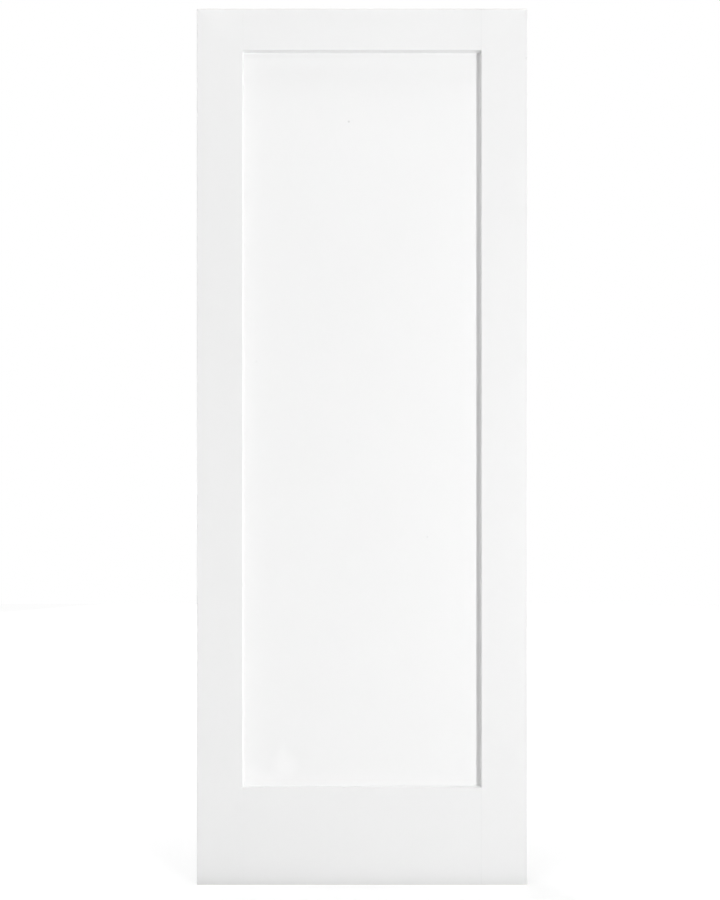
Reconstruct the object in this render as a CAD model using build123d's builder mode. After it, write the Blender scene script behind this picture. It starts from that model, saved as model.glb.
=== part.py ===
from build123d import *
import os

# Interior door leaf with one flat recessed panel. X runs from the hinge edge to the lock edge,
# Y from the front to the back with zero at mid-thickness, and Z up from the bottom end.
door_width = 770
door_height = 2040
door_thickness = 35

# The frame round the panel: two stiles of full height, with the rails between them
stile_width = 107
top_rail_height = 96
bottom_rail_height = 226

# Each stile and rail is a softwood core between two hardboard skins,
# closed by a solid strip at its outer edge and by a grooved strip at the opening
skin_thickness = 3
edge_strip_width = 12
groove_strip_width = 20

# The panel floats in a groove that runs round the opening
panel_thickness = 14
panel_face_clearance = 0.15
panel_edge_gap = 2
panel_edge_chamfer = 1
groove_depth = 12

# Stub tenons on the rails fill the groove of the stiles
tenon_end_gap = 0.5

# Dowels across the joints between stiles and rails
dowel_diameter = 12
dowel_length = 120
dowel_end_chamfer = 1.5
dowel_clearance = 0.1
dowel_end_gap = 2
top_rail_dowel_count = 2
top_rail_dowel_spacing = 32
bottom_rail_dowel_count = 4
bottom_rail_dowel_spacing = 45

# Rounded arrises, on the long edges of the leaf and round the opening
leaf_arris = 1.5
opening_arris = 1

groove_width = panel_thickness + 2 * panel_face_clearance
tenon_length = groove_depth - tenon_end_gap
opening_width = door_width - 2 * stile_width
opening_height = door_height - top_rail_height - bottom_rail_height
opening_middle = (door_width / 2, bottom_rail_height + opening_height / 2)
core_thickness = door_thickness - 2 * skin_thickness
joint_lines = (stile_width, door_width - stile_width)

# The section plane of each stile and rail has its origin on the outer edge of the leaf.
# Its x axis runs towards the opening, its y axis to the back, and its z axis along the piece.
hinge_stile_plane = Plane(origin=(0, 0, 0), x_dir=(1, 0, 0), z_dir=(0, 0, 1))
lock_stile_plane = Plane(origin=(door_width, 0, door_height), x_dir=(-1, 0, 0), z_dir=(0, 0, -1))
top_rail_plane = Plane(origin=(0, 0, door_height), x_dir=(0, 0, -1), z_dir=(1, 0, 0))
bottom_rail_plane = Plane(origin=(door_width, 0, 0), x_dir=(0, 0, 1), z_dir=(-1, 0, 0))


def leaf_envelope():
    """The frame's outer shape as one solid, with every arris rounded."""
    with BuildPart() as envelope:
        with BuildSketch(Plane.XZ):
            with Locations((door_width / 2, door_height / 2)):
                Rectangle(door_width, door_height)
            with Locations(opening_middle):
                Rectangle(opening_width, opening_height, mode=Mode.SUBTRACT)
        extrude(amount=door_thickness / 2, both=True)
        upright_edges = envelope.edges().filter_by(Axis.Z).group_by(Axis.X)
        front, back = envelope.faces().sort_by(Axis.Y)[0], envelope.faces().sort_by(Axis.Y)[-1]
        opening_edges = front.inner_wires()[0].edges() + back.inner_wires()[0].edges()
        fillet(upright_edges[0] + upright_edges[-1], leaf_arris)
        fillet(opening_edges, opening_arris)
    return envelope.part


def grooved_section(plane, width):
    """Section of a stile or rail, with the panel groove in the edge at the opening."""
    with BuildSketch(plane) as section:
        Rectangle(width, door_thickness, align=(Align.MIN, Align.CENTER))
        with Locations((width, 0)):
            Rectangle(groove_depth, groove_width, align=(Align.MAX, Align.CENTER), mode=Mode.SUBTRACT)
    return section.sketch


def round_bars(row, diameter, length):
    """Bars along X, centred on both joints with the stiles, one above the other.
    A row is the height of its middle, how many bars it has at a joint, and their spacing."""
    middle, count, spacing = row
    with BuildPart() as bars:
        for joint in joint_lines:
            with BuildSketch(Plane.YZ.offset(joint)):
                with Locations((0, middle)):
                    with GridLocations(0, spacing, 1, count):
                        Circle(diameter / 2)
        extrude(amount=length / 2, both=True)
    return bars.part


def dowels(row):
    """The dowels of a rail, with chamfered ends."""
    with BuildPart() as pins:
        add(round_bars(row, dowel_diameter, dowel_length))
        chamfer(pins.edges().filter_by(GeomType.CIRCLE), dowel_end_chamfer)
    return pins.part


def dowel_bores(row):
    """The bores for a rail's dowels, with their clearance and the room past each end."""
    return round_bars(row, dowel_diameter + 2 * dowel_clearance, dowel_length + 2 * dowel_end_gap)


def stile(plane, envelope, bores):
    """A stile of full height, grooved from end to end and bored for the dowels of both rails."""
    with BuildPart() as blank:
        extrude(grooved_section(plane, stile_width), amount=door_height)
        add(bores, mode=Mode.SUBTRACT)
        add(envelope, mode=Mode.INTERSECT)
    return blank.part


def rail(plane, height, envelope, bores):
    """A rail between the stiles, with a stub tenon at each end that fills the stile's groove."""
    with BuildPart() as blank:
        extrude(grooved_section(plane.offset(stile_width), height), amount=opening_width)
        with BuildSketch(plane.offset(stile_width - tenon_length)):
            Rectangle(height - groove_depth, groove_width, align=(Align.MIN, Align.CENTER))
        extrude(amount=opening_width + 2 * tenon_length)
        add(bores, mode=Mode.SUBTRACT)
        add(envelope, mode=Mode.INTERSECT)
    return blank.part


def save(piece, name):
    piece.label = name
    export_step(piece, f"parts/{name}.step")


def save_layer(name, blank, plane, across, through):
    """The layer of a stile or rail that lies between two distances from the outer edge of the
    leaf and two distances from its middle plane."""
    with BuildPart() as layer:
        add(blank)
        with BuildSketch(plane):
            with Locations(((across[0] + across[1]) / 2, (through[0] + through[1]) / 2)):
                Rectangle(across[1] - across[0], through[1] - through[0])
        extrude(amount=max(door_width, door_height), mode=Mode.INTERSECT)
    save(layer.part, name)


def save_member(name, blank, plane, width):
    """A stile or rail as its five glued layers."""
    half, inner = door_thickness / 2, core_thickness / 2
    groove_strip_start = width - groove_strip_width
    save_layer(f"{name}_edge_strip", blank, plane, (0, edge_strip_width), (-inner, inner))
    save_layer(f"{name}_core", blank, plane, (edge_strip_width, groove_strip_start), (-inner, inner))
    save_layer(f"{name}_groove_strip", blank, plane, (groove_strip_start, width), (-inner, inner))
    save_layer(f"{name}_front_skin", blank, plane, (0, width), (-half, -inner))
    save_layer(f"{name}_back_skin", blank, plane, (0, width), (inner, half))


os.makedirs("parts", exist_ok=True)

# Each row of dowels is centred on the core of its rail
bottom_core_middle = (edge_strip_width + bottom_rail_height - groove_strip_width) / 2
top_core_middle = door_height - (edge_strip_width + top_rail_height - groove_strip_width) / 2
bottom_row = (bottom_core_middle, bottom_rail_dowel_count, bottom_rail_dowel_spacing)
top_row = (top_core_middle, top_rail_dowel_count, top_rail_dowel_spacing)

leaf = leaf_envelope()
bottom_bores = dowel_bores(bottom_row)
top_bores = dowel_bores(top_row)

for side, plane in (("hinge", hinge_stile_plane), ("lock", lock_stile_plane)):
    save_member(f"{side}_stile", stile(plane, leaf, [bottom_bores, top_bores]), plane, stile_width)

top_rail = rail(top_rail_plane, top_rail_height, leaf, top_bores)
save_member("top_rail", top_rail, top_rail_plane, top_rail_height)
save(dowels(top_row), "top_rail_dowels")

bottom_rail = rail(bottom_rail_plane, bottom_rail_height, leaf, bottom_bores)
save_member("bottom_rail", bottom_rail, bottom_rail_plane, bottom_rail_height)
save(dowels(bottom_row), "bottom_rail_dowels")

with BuildPart() as panel:
    tongue = groove_depth - panel_edge_gap
    with BuildSketch(Plane.XZ):
        with Locations(opening_middle):
            Rectangle(opening_width + 2 * tongue, opening_height + 2 * tongue)
    extrude(amount=panel_thickness / 2, both=True)
    faces_out = panel.faces().sort_by(Axis.Y)
    chamfer(faces_out[0].edges() + faces_out[-1].edges(), panel_edge_chamfer)
save(panel.part, "panel")
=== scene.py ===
import math

import bmesh
import bpy
from mathutils import Matrix, Vector


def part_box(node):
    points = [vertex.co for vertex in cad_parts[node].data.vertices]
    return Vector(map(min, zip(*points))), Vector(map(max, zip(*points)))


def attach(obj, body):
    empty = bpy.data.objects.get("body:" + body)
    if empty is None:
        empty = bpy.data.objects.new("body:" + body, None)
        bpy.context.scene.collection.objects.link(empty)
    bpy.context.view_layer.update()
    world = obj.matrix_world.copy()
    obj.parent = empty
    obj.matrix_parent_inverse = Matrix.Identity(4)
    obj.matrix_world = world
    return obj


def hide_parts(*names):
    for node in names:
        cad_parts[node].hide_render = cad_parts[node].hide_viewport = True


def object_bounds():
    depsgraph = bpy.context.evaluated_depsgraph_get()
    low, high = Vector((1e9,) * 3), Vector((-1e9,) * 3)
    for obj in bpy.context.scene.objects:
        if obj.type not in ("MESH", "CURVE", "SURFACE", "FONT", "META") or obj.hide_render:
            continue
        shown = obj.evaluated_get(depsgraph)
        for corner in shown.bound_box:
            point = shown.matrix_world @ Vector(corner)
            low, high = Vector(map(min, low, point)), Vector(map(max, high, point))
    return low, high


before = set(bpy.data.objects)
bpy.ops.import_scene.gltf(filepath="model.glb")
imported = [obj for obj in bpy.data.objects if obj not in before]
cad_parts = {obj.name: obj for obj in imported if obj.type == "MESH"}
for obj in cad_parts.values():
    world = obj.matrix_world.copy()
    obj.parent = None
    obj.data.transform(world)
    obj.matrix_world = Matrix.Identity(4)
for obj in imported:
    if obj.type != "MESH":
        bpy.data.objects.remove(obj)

MM = 0.001
TOUCH = 0.002 * MM

# The leaf in the frame's axes: X from the hinge edge to the lock edge, front face at the lowest Y
cad_low, cad_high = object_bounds()
LEAF_WIDTH = cad_high.x
LEAF_HEIGHT = cad_high.z
FRONT = cad_low.y
BACK = cad_high.y
MIDDLE = LEAF_WIDTH / 2
OPENING_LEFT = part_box("hinge_stile_front_skin")[1].x
OPENING_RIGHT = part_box("lock_stile_front_skin")[0].x
OPENING_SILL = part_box("bottom_rail_front_skin")[1].z
OPENING_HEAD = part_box("top_rail_front_skin")[0].z
SKIN_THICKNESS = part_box("hinge_stile_front_skin")[1].y - FRONT
PANEL_LOW, PANEL_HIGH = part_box("panel")

# Rounded arrises of the skins, and the much finer ones where two pieces meet under the paint
LEAF_ARRIS = 1.5 * MM
OPENING_ARRIS = 1.0 * MM
ARRIS_SEGMENTS = 5
JOINT_ARRIS = 0.12 * MM
JOINT_CRACK = 0.06 * MM
PANEL_CHAMFER = 1.0 * MM
SHARP_ANGLE = math.radians(40)

# The line of paint in the corner between the frame and the panel
PAINT_LINE = 1.8 * MM
PAINT_LINE_STEPS = 4

# A small nick in the front of the panel, and one in the lock stile's front arris
NICK = Vector((0.3537, PANEL_LOW.y, 1.7838))
NICK_REACH = 3.4 * MM
NICK_DEPTH = 1.2 * MM
NICK_SHARPNESS = 4
NICK_CUTS = 9
EDGE_NICK_HEIGHT = 1.9250
EDGE_NICK_REACH = 1.8 * MM
EDGE_NICK_DEPTH = Vector((-1.2 * MM, 0.6 * MM, 0))

# The photograph's framing: the camera faces the leaf square on, below its middle
PHOTO_HEIGHT_PX = 900
PHOTO_PX_PER_M = 429.3
CAMERA_DISTANCE = 1.57
CAMERA_X = 0.3802
CAMERA_HEIGHT = 0.8238
HORIZON_ROW_PX = 531
SENSOR = 36.0
CLIP_START = 0.05


def photo_camera():
    data = bpy.data.cameras.new("photo_camera")
    camera = bpy.data.objects.new("photo_camera", data)
    bpy.context.collection.objects.link(camera)
    camera.location = (CAMERA_X, FRONT - CAMERA_DISTANCE, CAMERA_HEIGHT)
    camera.rotation_euler = (math.pi / 2, 0, 0)
    data.sensor_width = SENSOR
    data.lens = SENSOR * PHOTO_PX_PER_M * CAMERA_DISTANCE / PHOTO_HEIGHT_PX
    data.shift_y = (HORIZON_ROW_PX - PHOTO_HEIGHT_PX / 2) / PHOTO_HEIGHT_PX
    data.clip_start = CLIP_START
    bpy.context.scene.camera = camera


def node_tree(name):
    material = bpy.data.materials.new(name)
    material.use_nodes = True
    tree = material.node_tree
    tree.nodes.clear()
    return material, tree


def add_node(tree, kind, **values):
    """A shader node, with its settings and sockets set by their names."""
    node = tree.nodes.new("ShaderNode" + kind)
    for name, value in values.items():
        if hasattr(node, name):
            setattr(node, name, value)
        else:
            node.inputs[name.replace("_", " ").title()].default_value = value
    return node


def grey(level):
    return (level, level, level, 1)


def spread(tree, value, low, high):
    """A 0 to 1 value as one between low and high."""
    ranged = add_node(tree, "MapRange", To_Min=low, To_Max=high)
    tree.links.new(value, ranged.inputs["Value"])
    return ranged.outputs[0]


def worked(tree, operation, first, second=0.0):
    """A Math node on two values, each a socket or a plain number."""
    node = add_node(tree, "Math", operation=operation)
    for socket, value in zip(node.inputs, (first, second)):
        if isinstance(value, (int, float)):
            socket.default_value = value
        else:
            tree.links.new(value, socket)
    return node.outputs[0]


def object_place(tree, **mapping_values):
    """The object's own coordinates, through a Mapping node."""
    place = add_node(tree, "TexCoord")
    mapping = add_node(tree, "Mapping", **mapping_values)
    tree.links.new(place.outputs["Object"], mapping.inputs["Vector"])
    return mapping.outputs[0]


def place_from(tree, centre, reach=(1, 1, 1)):
    """The object's own coordinates, from a centre and in units of a reach."""
    return object_place(tree, vector_type="TEXTURE", Location=centre, Scale=reach)


def object_axes(tree, centre, reach=(1, 1, 1)):
    """X, Y and Z from a centre, in units of a reach."""
    axes = add_node(tree, "SeparateXYZ")
    tree.links.new(place_from(tree, centre, reach), axes.inputs[0])
    return axes.outputs


def ball(tree, centre, reach):
    """1 at a centre, down to 0 at a reach from it."""
    gradient = add_node(tree, "TexGradient", gradient_type="SPHERICAL")
    tree.links.new(place_from(tree, centre, reach), gradient.inputs["Vector"])
    return gradient.outputs["Fac"]


# Noise detail: plain for relief, and rich for tones and gloss
PLAIN = 2.0
RICH = 3.0


def noise(tree, cells, detail=PLAIN, stretch=(1, 1, 1)):
    """Noise on the object's own coordinates, in cells a metre before the stretch."""
    texture = add_node(tree, "TexNoise", Scale=cells, Detail=detail)
    tree.links.new(object_place(tree, Scale=stretch), texture.inputs["Vector"])
    return texture.outputs[0]


SKIN_PAINT = (0.876, 0.877, 0.876)
PANEL_PAINT = (0.914, 0.915, 0.914)
PRIMED_BOARD = (0.70, 0.655, 0.58)
PRIMED_WOOD = (0.79, 0.76, 0.69)
BEECH = (0.60, 0.42, 0.24)

# Faint marks in the paint: centre and reach in metres, and how much darker (or paler, below zero)
MARK_DEPTH = 3 * MM
PANEL_SMUDGES = (
    ((0.204, PANEL_LOW.y, 0.275), (0.036, MARK_DEPTH, 0.038), -0.045),
    ((0.197, PANEL_LOW.y, 0.308), (0.016, MARK_DEPTH, 0.030), -0.022),
    ((0.126, PANEL_LOW.y, 0.255), (0.032, MARK_DEPTH, 0.024), -0.020),
    ((0.165, PANEL_LOW.y, 0.243), (0.040, MARK_DEPTH, 0.024), -0.022),
    ((0.351, PANEL_LOW.y, 1.034), (0.004, MARK_DEPTH, 0.006), 0.030),
    ((0.538, PANEL_LOW.y, 0.810), (0.003, MARK_DEPTH, 0.003), 0.120),
    ((0.137, PANEL_LOW.y, 1.221), (0.003, MARK_DEPTH, 0.004), 0.050),
    ((NICK.x, PANEL_LOW.y, NICK.z), (NICK_REACH, MARK_DEPTH, NICK_REACH), 0.28),
)
# Painted shade at the lock stile's edge nick: a darker patch in the paint where the nick's faces lie in
# shadow
EDGE_NICK_SHADE = ((LEAF_WIDTH, FRONT, EDGE_NICK_HEIGHT), (0.006, MARK_DEPTH, 0.004), 0.160)

# Darker along the rails' joints with the stiles, most at the lock stile's: the paint sinks a little into the
# joint, and painted shade stands in for the shadow in its hairline
JOINT_SHADE_REACH = 1.4 * MM
ENDLESS = 100
JOINT_SHADES = [
    ((x, y, 0), (JOINT_SHADE_REACH, MARK_DEPTH, ENDLESS), strength)
    for x, strength in ((OPENING_LEFT, 0.04), (OPENING_RIGHT, 0.09))
    for y in (FRONT, BACK)
]

# The paint's slow clouding, its gloss, and its fine orange peel, with cells a metre for each
PAINT_CLOUDING = 0.006
CLOUDING_CELLS = 5.0
PAINT_ROUGHNESS = (0.40, 0.50)
GLOSS_CELLS = 9.0
PAINT_SPECULAR = 0.35
SPRAY_HEIGHT = 0.008 * MM
SPRAY_CELLS = 450.0


def clouded(tree, marks):
    """The paint's tone about 1: slow clouding from the spray passes, and the marks."""
    tone = spread(tree, noise(tree, CLOUDING_CELLS, RICH), 1 - PAINT_CLOUDING, 1 + PAINT_CLOUDING)
    for centre, reach, strength in marks:
        mark = spread(tree, ball(tree, centre, reach), 1.0, 1.0 - strength)
        tone = worked(tree, "MULTIPLY", tone, mark)
    return tone


def tinted(tree, tone, colour):
    """A colour made lighter and darker by a tone about 1."""
    shade = add_node(tree, "VectorMath", operation="SCALE")
    shade.inputs[0].default_value = colour
    tree.links.new(tone, shade.inputs["Scale"])
    return shade.outputs[0]


def bumped(tree, height, distance, shader, under=None):
    bump = add_node(tree, "Bump", Distance=distance)
    tree.links.new(height, bump.inputs["Height"])
    if under is not None:
        tree.links.new(under, bump.inputs["Normal"])
    tree.links.new(bump.outputs[0], shader.inputs["Normal"])
    return bump.outputs[0]


# The wood: its grain along the stiles and rails, and what shows through the primer at the leaf's ends.
# Each stretch is in cells a metre along X, Y and Z, and each pair of tones is darkest and palest
GRAIN_ALONG = {"stile": (350, 350, 8), "rail": (8, 350, 350)}
GRAIN_HEIGHT = 0.02 * MM
END_ROUGHNESS = 0.62
END_SKIM = 0.5 * MM
STILE_HEARTS = {"hinge_stile": (0.06, 0.05, 0), "lock_stile": (0.70, -0.06, 0)}
RING_SCALE = 70.0
RING_DISTORTION = 3.0
RING_TONES = (0.94, 1.02)
PORE_CELLS = 900.0
PORE_TONES = (0.95, 1.03)
LONG_GRAIN = (6, 260, 260)
PRESSED_FIBRE = (300, 1400, 300)
GRAIN_TONES = (0.94, 1.04)
BEECH_GRAIN = (40, 900, 900)
BEECH_TONES = (0.88, 1.06)
BEECH_ROUGHNESS = 0.6


def at_leaf_end(tree):
    """1 on the faces at the leaf's top and bottom ends, and 0 elsewhere."""
    height = object_axes(tree, (0, 0, LEAF_HEIGHT / 2))[2]
    return worked(tree, "GREATER_THAN", worked(tree, "ABSOLUTE", height), LEAF_HEIGHT / 2 - END_SKIM)


def growth_rings(tree, heart):
    """End grain through primer: rings round the heart of the tree, and pores."""
    rings = add_node(
        tree, "TexWave", wave_type="RINGS", rings_direction="Z", Scale=RING_SCALE, Distortion=RING_DISTORTION
    )
    tree.links.new(place_from(tree, heart), rings.inputs["Vector"])
    ring_tone = spread(tree, rings.outputs["Fac"], *RING_TONES)
    return worked(tree, "MULTIPLY", ring_tone, spread(tree, noise(tree, PORE_CELLS), *PORE_TONES))


def long_grain(tree):
    """Grain along X through primer."""
    return spread(tree, noise(tree, 1.0, RICH, LONG_GRAIN), *GRAIN_TONES)


def pressed_fibre(tree):
    """The edge of a hardboard skin or of the panel through primer."""
    return spread(tree, noise(tree, 1.0, RICH, PRESSED_FIBRE), *GRAIN_TONES)


def satin_paint(name, colour, end_colour, end_tone, marks=(), grain=None):
    """White satin paint, sprayed: a fine orange peel, and slow clouding in tone and gloss.
    At the leaf's ends the paint stops, and a thin coat of primer shows the board or wood under it."""
    material, tree = node_tree(name)
    shader = add_node(tree, "BsdfPrincipled")
    shader.inputs["Specular IOR Level"].default_value = PAINT_SPECULAR
    at_end = at_leaf_end(tree)
    mix = add_node(tree, "Mix", data_type="RGBA")
    tree.links.new(at_end, mix.inputs["Factor"])
    tree.links.new(tinted(tree, clouded(tree, marks), colour), mix.inputs["A"])
    tree.links.new(tinted(tree, end_tone(tree), end_colour), mix.inputs["B"])
    tree.links.new(mix.outputs["Result"], shader.inputs["Base Color"])
    gloss = spread(tree, noise(tree, GLOSS_CELLS, RICH), *PAINT_ROUGHNESS)
    matt = worked(tree, "MULTIPLY", at_end, END_ROUGHNESS)
    tree.links.new(worked(tree, "MAXIMUM", gloss, matt), shader.inputs["Roughness"])
    under = None
    if grain:
        under = bumped(tree, noise(tree, 1.0, PLAIN, grain), GRAIN_HEIGHT, shader)
    bumped(tree, noise(tree, SPRAY_CELLS), SPRAY_HEIGHT, shader, under)
    out = add_node(tree, "OutputMaterial")
    tree.links.new(shader.outputs[0], out.inputs[0])
    return material


def bare_beech():
    material, tree = node_tree("bare_beech")
    tone = spread(tree, noise(tree, 1.0, RICH, BEECH_GRAIN), *BEECH_TONES)
    shader = add_node(tree, "BsdfPrincipled", Roughness=BEECH_ROUGHNESS)
    tree.links.new(tinted(tree, tone, BEECH), shader.inputs["Base Color"])
    out = add_node(tree, "OutputMaterial")
    tree.links.new(shader.outputs[0], out.inputs[0])
    return material


# The axes by their places in a vector: across the leaf, and up
ACROSS = 0
UP = 2


def edges_where(shape, test):
    return [edge for edge in shape.edges if all(test(vert.co) for vert in edge.verts)]


def bevel(shape, edges, width, segments):
    bmesh.ops.bevel(
        shape, geom=edges, offset=width, segments=segments, profile=0.5, affect="EDGES", material=-1
    )


def rectangle_loop(shape, low, high, y):
    """The four edges of an upright rectangle at the depth y, from two (x, z) corners."""
    corners = (low, (high[0], low[1]), high, (low[0], high[1]))
    verts = [shape.verts.new((x, y, z)) for x, z in corners]
    return [shape.edges.new((verts[i - 1], verts[i])) for i in range(len(verts))]


def keep_below(shape, axis, place, sign=1):
    """Cuts the shape across an axis, takes away what lies past the cut (or short of it, with the sign
    at -1), and closes it."""
    point, normal = Vector(), Vector()
    point[axis], normal[axis] = place, sign
    everything = shape.verts[:] + shape.edges[:] + shape.faces[:]
    bmesh.ops.bisect_plane(
        shape, geom=everything, dist=TOUCH, plane_co=point, plane_no=normal, clear_outer=True
    )
    bmesh.ops.holes_fill(shape, edges=[edge for edge in shape.edges if edge.is_boundary], sides=0)


def face_layer():
    """The front skins of all four members as one ring, its arrises rounded."""
    shape = bmesh.new()
    outline = rectangle_loop(shape, (0, 0), (LEAF_WIDTH, LEAF_HEIGHT), FRONT)
    opening = rectangle_loop(shape, (OPENING_LEFT, OPENING_SILL), (OPENING_RIGHT, OPENING_HEAD), FRONT)
    ring = bmesh.ops.bridge_loops(shape, edges=outline + opening)["faces"]
    solid = bmesh.ops.extrude_face_region(shape, geom=ring)["geom"]
    inner = [item for item in solid if isinstance(item, bmesh.types.BMVert)]
    bmesh.ops.translate(shape, verts=inner, vec=(0, SKIN_THICKNESS, 0))
    bmesh.ops.recalc_face_normals(shape, faces=shape.faces)

    def at_front(co):
        return abs(co.y - FRONT) < TOUCH

    def inside(co):
        return OPENING_LEFT - TOUCH < co.x < OPENING_RIGHT + TOUCH

    bevel(shape, edges_where(shape, lambda co: at_front(co) and inside(co)), OPENING_ARRIS, ARRIS_SEGMENTS)
    for side in (0, LEAF_WIDTH):
        rim = edges_where(shape, lambda co: at_front(co) and abs(co.x - side) < TOUCH)
        bevel(shape, rim, LEAF_ARRIS, ARRIS_SEGMENTS)
    return shape


def soften_joints(shape, sides):
    """Breaks the edges along the joints to the next pieces, where the paint shows a hairline."""
    seam = FRONT + SKIN_THICKNESS
    for side in sides:
        butt = edges_where(shape, lambda co: abs(co.y - FRONT) < TOUCH and abs(co.x - side) < TOUCH)
        bevel(shape, butt, JOINT_ARRIS, 1)
    under = edges_where(shape, lambda co: abs(co.y - seam) < TOUCH)
    bevel(shape, under, JOINT_ARRIS, 1)


def stile_skin(left):
    shape = face_layer()
    if left:
        keep_below(shape, ACROSS, OPENING_LEFT)
    else:
        keep_below(shape, ACROSS, OPENING_RIGHT, -1)
    soften_joints(shape, [OPENING_LEFT if left else OPENING_RIGHT])
    return shape


def rail_skin(top):
    shape = face_layer()
    if top:
        keep_below(shape, UP, OPENING_HEAD, -1)
    else:
        keep_below(shape, UP, OPENING_SILL)
    ends = [OPENING_LEFT + JOINT_CRACK, OPENING_RIGHT - JOINT_CRACK]
    keep_below(shape, ACROSS, ends[1])
    keep_below(shape, ACROSS, ends[0], -1)
    soften_joints(shape, ends)
    return shape


def turned_to_back(shape):
    """The same piece on the other face of the leaf, mirrored through its middle plane."""
    bmesh.ops.transform(shape, matrix=Matrix.Scale(-1, 4, (0, 1, 0)), verts=shape.verts)
    bmesh.ops.reverse_faces(shape, faces=shape.faces)
    return shape


def cut_through(shape, point, axis):
    """Divides the faces along a plane across an axis, and takes nothing away."""
    normal = Vector()
    normal[axis] = 1
    everything = shape.verts[:] + shape.edges[:] + shape.faces[:]
    bmesh.ops.bisect_plane(shape, geom=everything, dist=TOUCH, plane_co=point, plane_no=normal)


def chip_edge(shape):
    """The nick in the lock stile's front arris: its middle pressed in between two cuts."""
    for offset in (-EDGE_NICK_REACH, 0, EDGE_NICK_REACH):
        cut_through(shape, Vector((0, 0, EDGE_NICK_HEIGHT + offset)), UP)
    for vert in shape.verts:
        on_arris = vert.co.x > LEAF_WIDTH - LEAF_ARRIS - TOUCH and vert.co.y < FRONT + LEAF_ARRIS + TOUCH
        if on_arris and abs(vert.co.z - EDGE_NICK_HEIGHT) < TOUCH:
            vert.co += EDGE_NICK_DEPTH


def dent(shape):
    """The nick: a small patch of the panel's face, divided finely and pressed in."""
    for axis in (ACROSS, UP):
        for side in (-1, 1):
            point = NICK.copy()
            point[axis] += side * NICK_REACH
            cut_through(shape, point, axis)
    patch = [face for face in shape.faces if (face.calc_center_median() - NICK).length < TOUCH]
    sides = [edge for face in patch for edge in face.edges]
    bmesh.ops.subdivide_edges(shape, edges=sides, cuts=NICK_CUTS, use_grid_fill=True)
    for vert in shape.verts:
        away = (vert.co - NICK).length / NICK_REACH
        if away < 1:
            vert.co.y += NICK_DEPTH * math.cos(away * math.pi / 2) ** NICK_SHARPNESS


def panel_board():
    shape = bmesh.new()
    size = PANEL_HIGH - PANEL_LOW
    place = Matrix.LocRotScale((PANEL_LOW + PANEL_HIGH) / 2, None, size)
    bmesh.ops.create_cube(shape, size=1, matrix=place)
    for face_y in (PANEL_LOW.y, PANEL_HIGH.y):
        bevel(shape, edges_where(shape, lambda co: abs(co.y - face_y) < TOUCH), PANEL_CHAMFER, 1)
    dent(shape)
    return shape


def paint_line():
    """The hollow line of paint in the front corner between the frame and the panel, as a ring."""
    shape = bmesh.new()
    loops = []
    section = [(0, 0)]
    for step in range(PAINT_LINE_STEPS + 1):
        angle = step / PAINT_LINE_STEPS * math.pi / 2
        section.append((PAINT_LINE * (1 - math.cos(angle)), PAINT_LINE * (1 - math.sin(angle))))
    for inset, height in section:
        low = (OPENING_LEFT + inset, OPENING_SILL + inset)
        high = (OPENING_RIGHT - inset, OPENING_HEAD - inset)
        loops.append(rectangle_loop(shape, low, high, PANEL_LOW.y - height))
    for i in range(len(loops)):
        bmesh.ops.bridge_loops(shape, edges=loops[i - 1] + loops[i])
    bmesh.ops.recalc_face_normals(shape, faces=shape.faces)
    return shape


def finished(shape, name, material, node=None):
    """The bmesh as a piece of the leaf, with its material, body and slot."""
    mesh = bpy.data.meshes.new(name)
    shape.to_mesh(mesh)
    shape.free()
    mesh.materials.append(material)
    mesh.shade_smooth()
    mesh.set_sharp_from_angle(angle=SHARP_ANGLE)
    piece = bpy.data.objects.new(name, mesh)
    bpy.context.collection.objects.link(piece)
    piece.modifiers.new("flat_faces", "WEIGHTED_NORMAL").keep_sharp = True
    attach(piece, "root")
    if node:
        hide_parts(node)


# Lamps, in metres and watts: the key from the right, weak fills from the left, from near the floor, from
# above and from the front, one straight over the leaf, and a key and a fill for its back
LAMPS = {
    "key_light": {"size": 1.3, "power": 151, "place": (4.86, -4.20, 1.15), "beam": math.radians(135)},
    "left_fill_light": {"size": 1.0, "power": 8.7, "place": (-1.60, -1.50, 1.20)},
    "low_fill_light": {"size": 0.5, "power": 1.7, "place": (-0.90, -1.70, 0.28)},
    "high_fill_light": {"size": 0.8, "power": 15.8, "place": (-0.90, -1.60, 4.00)},
    "front_fill_light": {"size": 0.8, "power": 7.9, "place": (MIDDLE, -2.20, 3.60)},
    "top_light": {"size": 1.0, "power": 72, "place": (MIDDLE, 0, 4.60)},
    "back_key_light": {"size": 1.3, "power": 245, "place": (-4.10, 4.20, 1.30)},
    "back_fill_light": {"size": 1.0, "power": 11, "place": (2.40, 1.50, 1.10)},
}
AMBIENT = 0.042
BACKDROP = 1.0

# The floor: how pale it is to light that bounces, with a darker strip beside the leaf, and how pale and
# bright it looks itself, far off and near the leaf
FLOOR_SIZE = 12
FLOOR_BOUNCE = 0.75
FLOOR_BESIDE_LEAF = 0.42
FLOOR_STRIP = 24 * MM
FLOOR_PALE = 0.5
FLOOR_GLOW = (0.93, 0.55)
FLOOR_GLOW_REACH = 3.0


def softbox(name, size, power, place, beam=math.pi):
    """A square lamp aimed at the middle of the lock stile's front edge at the opening."""
    data = bpy.data.lights.new(name, "AREA")
    data.shape = "SQUARE"
    data.size = size
    data.energy = power
    data.spread = beam
    lamp = bpy.data.objects.new(name, data)
    bpy.context.collection.objects.link(lamp)
    lamp.location = place
    aim = Vector((OPENING_RIGHT, FRONT, LEAF_HEIGHT / 2))
    lamp.rotation_euler = (aim - lamp.location).to_track_quat("-Z", "Y").to_euler()


def seen_directly(tree):
    """1 for a ray from the camera, a reflection or through glass, and 0 for light that bounces."""
    path = add_node(tree, "LightPath")
    shown = worked(tree, "MAXIMUM", path.outputs["Is Camera Ray"], path.outputs["Is Glossy Ray"])
    return worked(tree, "MAXIMUM", shown, path.outputs["Is Transmission Ray"])


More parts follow.
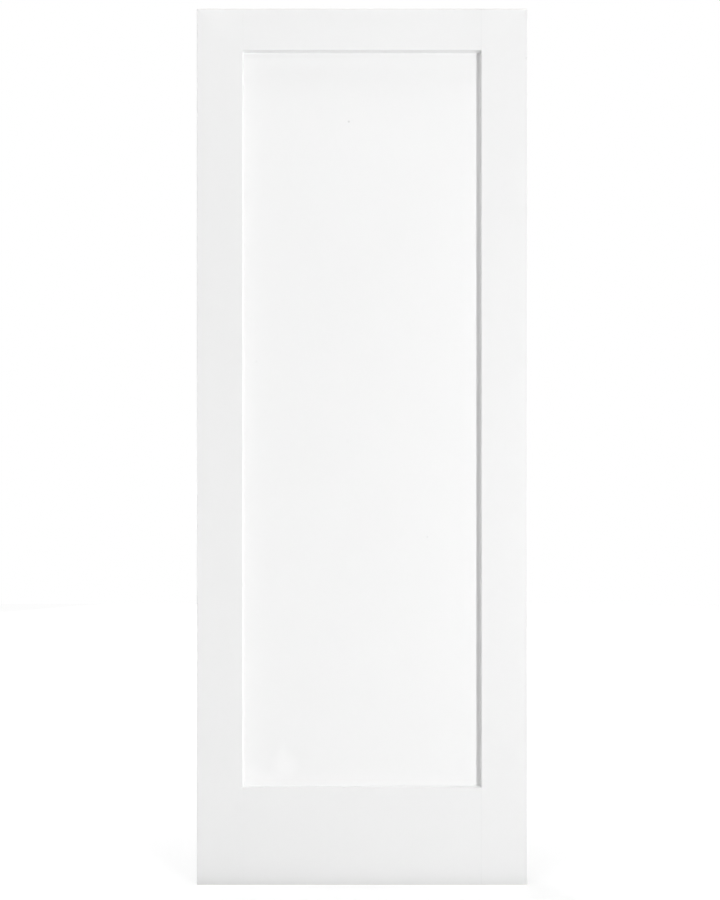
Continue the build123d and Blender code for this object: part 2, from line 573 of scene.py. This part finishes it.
def studio_world():
    world = bpy.data.worlds.new("studio")
    bpy.context.scene.world = world
    world.use_nodes = True
    tree = world.node_tree
    tree.nodes.clear()
    ambient = add_node(tree, "Background", Color=grey(1), Strength=AMBIENT)
    backdrop = add_node(tree, "Background", Color=grey(1), Strength=BACKDROP)
    mix = add_node(tree, "MixShader")
    out = add_node(tree, "OutputWorld")
    tree.links.new(seen_directly(tree), mix.inputs[0])
    tree.links.new(ambient.outputs[0], mix.inputs[1])
    tree.links.new(backdrop.outputs[0], mix.inputs[2])
    tree.links.new(mix.outputs[0], out.inputs[0])


def beside_leaf(tree):
    """1 on the floor within the strip round the leaf's foot, and 0 elsewhere."""
    across, along, _ = object_axes(tree, (MIDDLE, 0, 0), (MIDDLE + FLOOR_STRIP, BACK + FLOOR_STRIP, 1))
    furthest = worked(tree, "MAXIMUM", worked(tree, "ABSOLUTE", across), worked(tree, "ABSOLUTE", along))
    return worked(tree, "LESS_THAN", furthest, 1)


def near_leaf(tree):
    """1 on the floor under the leaf's middle, down to 0 a few metres off."""
    return ball(tree, (MIDDLE, 0, 0), (FLOOR_GLOW_REACH, FLOOR_GLOW_REACH, FLOOR_GLOW_REACH))


def floor_material():
    material, tree = node_tree("pale_floor")
    bounce = add_node(tree, "BsdfDiffuse")
    tree.links.new(spread(tree, beside_leaf(tree), FLOOR_BOUNCE, FLOOR_BESIDE_LEAF), bounce.inputs["Color"])
    pale = add_node(tree, "BsdfDiffuse", Color=grey(FLOOR_PALE))
    glow = add_node(tree, "Emission", Color=grey(1))
    tree.links.new(spread(tree, near_leaf(tree), *FLOOR_GLOW), glow.inputs["Strength"])
    both = add_node(tree, "AddShader")
    mix = add_node(tree, "MixShader")
    out = add_node(tree, "OutputMaterial")
    tree.links.new(pale.outputs[0], both.inputs[0])
    tree.links.new(glow.outputs[0], both.inputs[1])
    tree.links.new(seen_directly(tree), mix.inputs[0])
    tree.links.new(bounce.outputs[0], mix.inputs[1])
    tree.links.new(both.outputs[0], mix.inputs[2])
    tree.links.new(mix.outputs[0], out.inputs[0])
    return material


def studio_floor():
    shape = bmesh.new()
    bmesh.ops.create_grid(shape, x_segments=1, y_segments=1, size=FLOOR_SIZE / 2)
    bmesh.ops.translate(shape, verts=shape.verts, vec=(MIDDLE, 0, 0))
    mesh = bpy.data.meshes.new("studio_floor")
    shape.to_mesh(mesh)
    shape.free()
    floor = bpy.data.objects.new("studio_floor", mesh)
    bpy.context.collection.objects.link(floor)
    mesh.materials.append(floor_material())


photo_camera()
for lamp_name, lamp_values in LAMPS.items():
    softbox(lamp_name, **lamp_values)
studio_world()
studio_floor()


def skin_paint(name, marks=()):
    """The paint of a member's hardboard skins."""
    return satin_paint(name, SKIN_PAINT, PRIMED_BOARD, pressed_fibre, marks)


def stile_wood(member):
    """The solid wood of a stile, which shows end grain at the leaf's ends."""

    def end_grain(tree):
        return growth_rings(tree, STILE_HEARTS[member])

    return satin_paint(f"{member}_wood", SKIN_PAINT, PRIMED_WOOD, end_grain, grain=GRAIN_ALONG["stile"])


rail_paint = skin_paint("rail_paint", JOINT_SHADES)
skin_materials = {
    "hinge_stile": skin_paint("hinge_stile_paint"),
    "lock_stile": skin_paint("lock_stile_paint", [EDGE_NICK_SHADE]),
    "top_rail": rail_paint,
    "bottom_rail": rail_paint,
}
panel_paint = satin_paint("panel_paint", PANEL_PAINT, PRIMED_BOARD, pressed_fibre, PANEL_SMUDGES)

for side, turn in (("front", lambda shape: shape), ("back", turned_to_back)):
    skins = {
        "hinge_stile": stile_skin(left=True),
        "lock_stile": stile_skin(left=False),
        "top_rail": rail_skin(top=True),
        "bottom_rail": rail_skin(top=False),
    }
    if side == "front":
        chip_edge(skins["lock_stile"])
    for member, shape in skins.items():
        name = f"{member}_{side}_skin"
        finished(turn(shape), f"{name}_board", skin_materials[member], name)
    finished(turn(paint_line()), f"{side}_paint_line", rail_paint)

finished(panel_board(), "panel_board", panel_paint, "panel")

# The solid wood behind the skins: the rails show long grain at the leaf's ends
rail_wood = satin_paint("rail_wood", SKIN_PAINT, PRIMED_WOOD, long_grain, grain=GRAIN_ALONG["rail"])
wood = {
    "hinge_stile": stile_wood("hinge_stile"),
    "lock_stile": stile_wood("lock_stile"),
    "top_rail": rail_wood,
    "bottom_rail": rail_wood,
}
dowel_wood = bare_beech()
for name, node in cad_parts.items():
    member = "_".join(name.split("_")[:2])
    for slot in node.material_slots:
        slot.material = dowel_wood if name.endswith("dowels") else wood.get(member, panel_paint)

bpy.context.scene.view_settings.view_transform = "Standard"
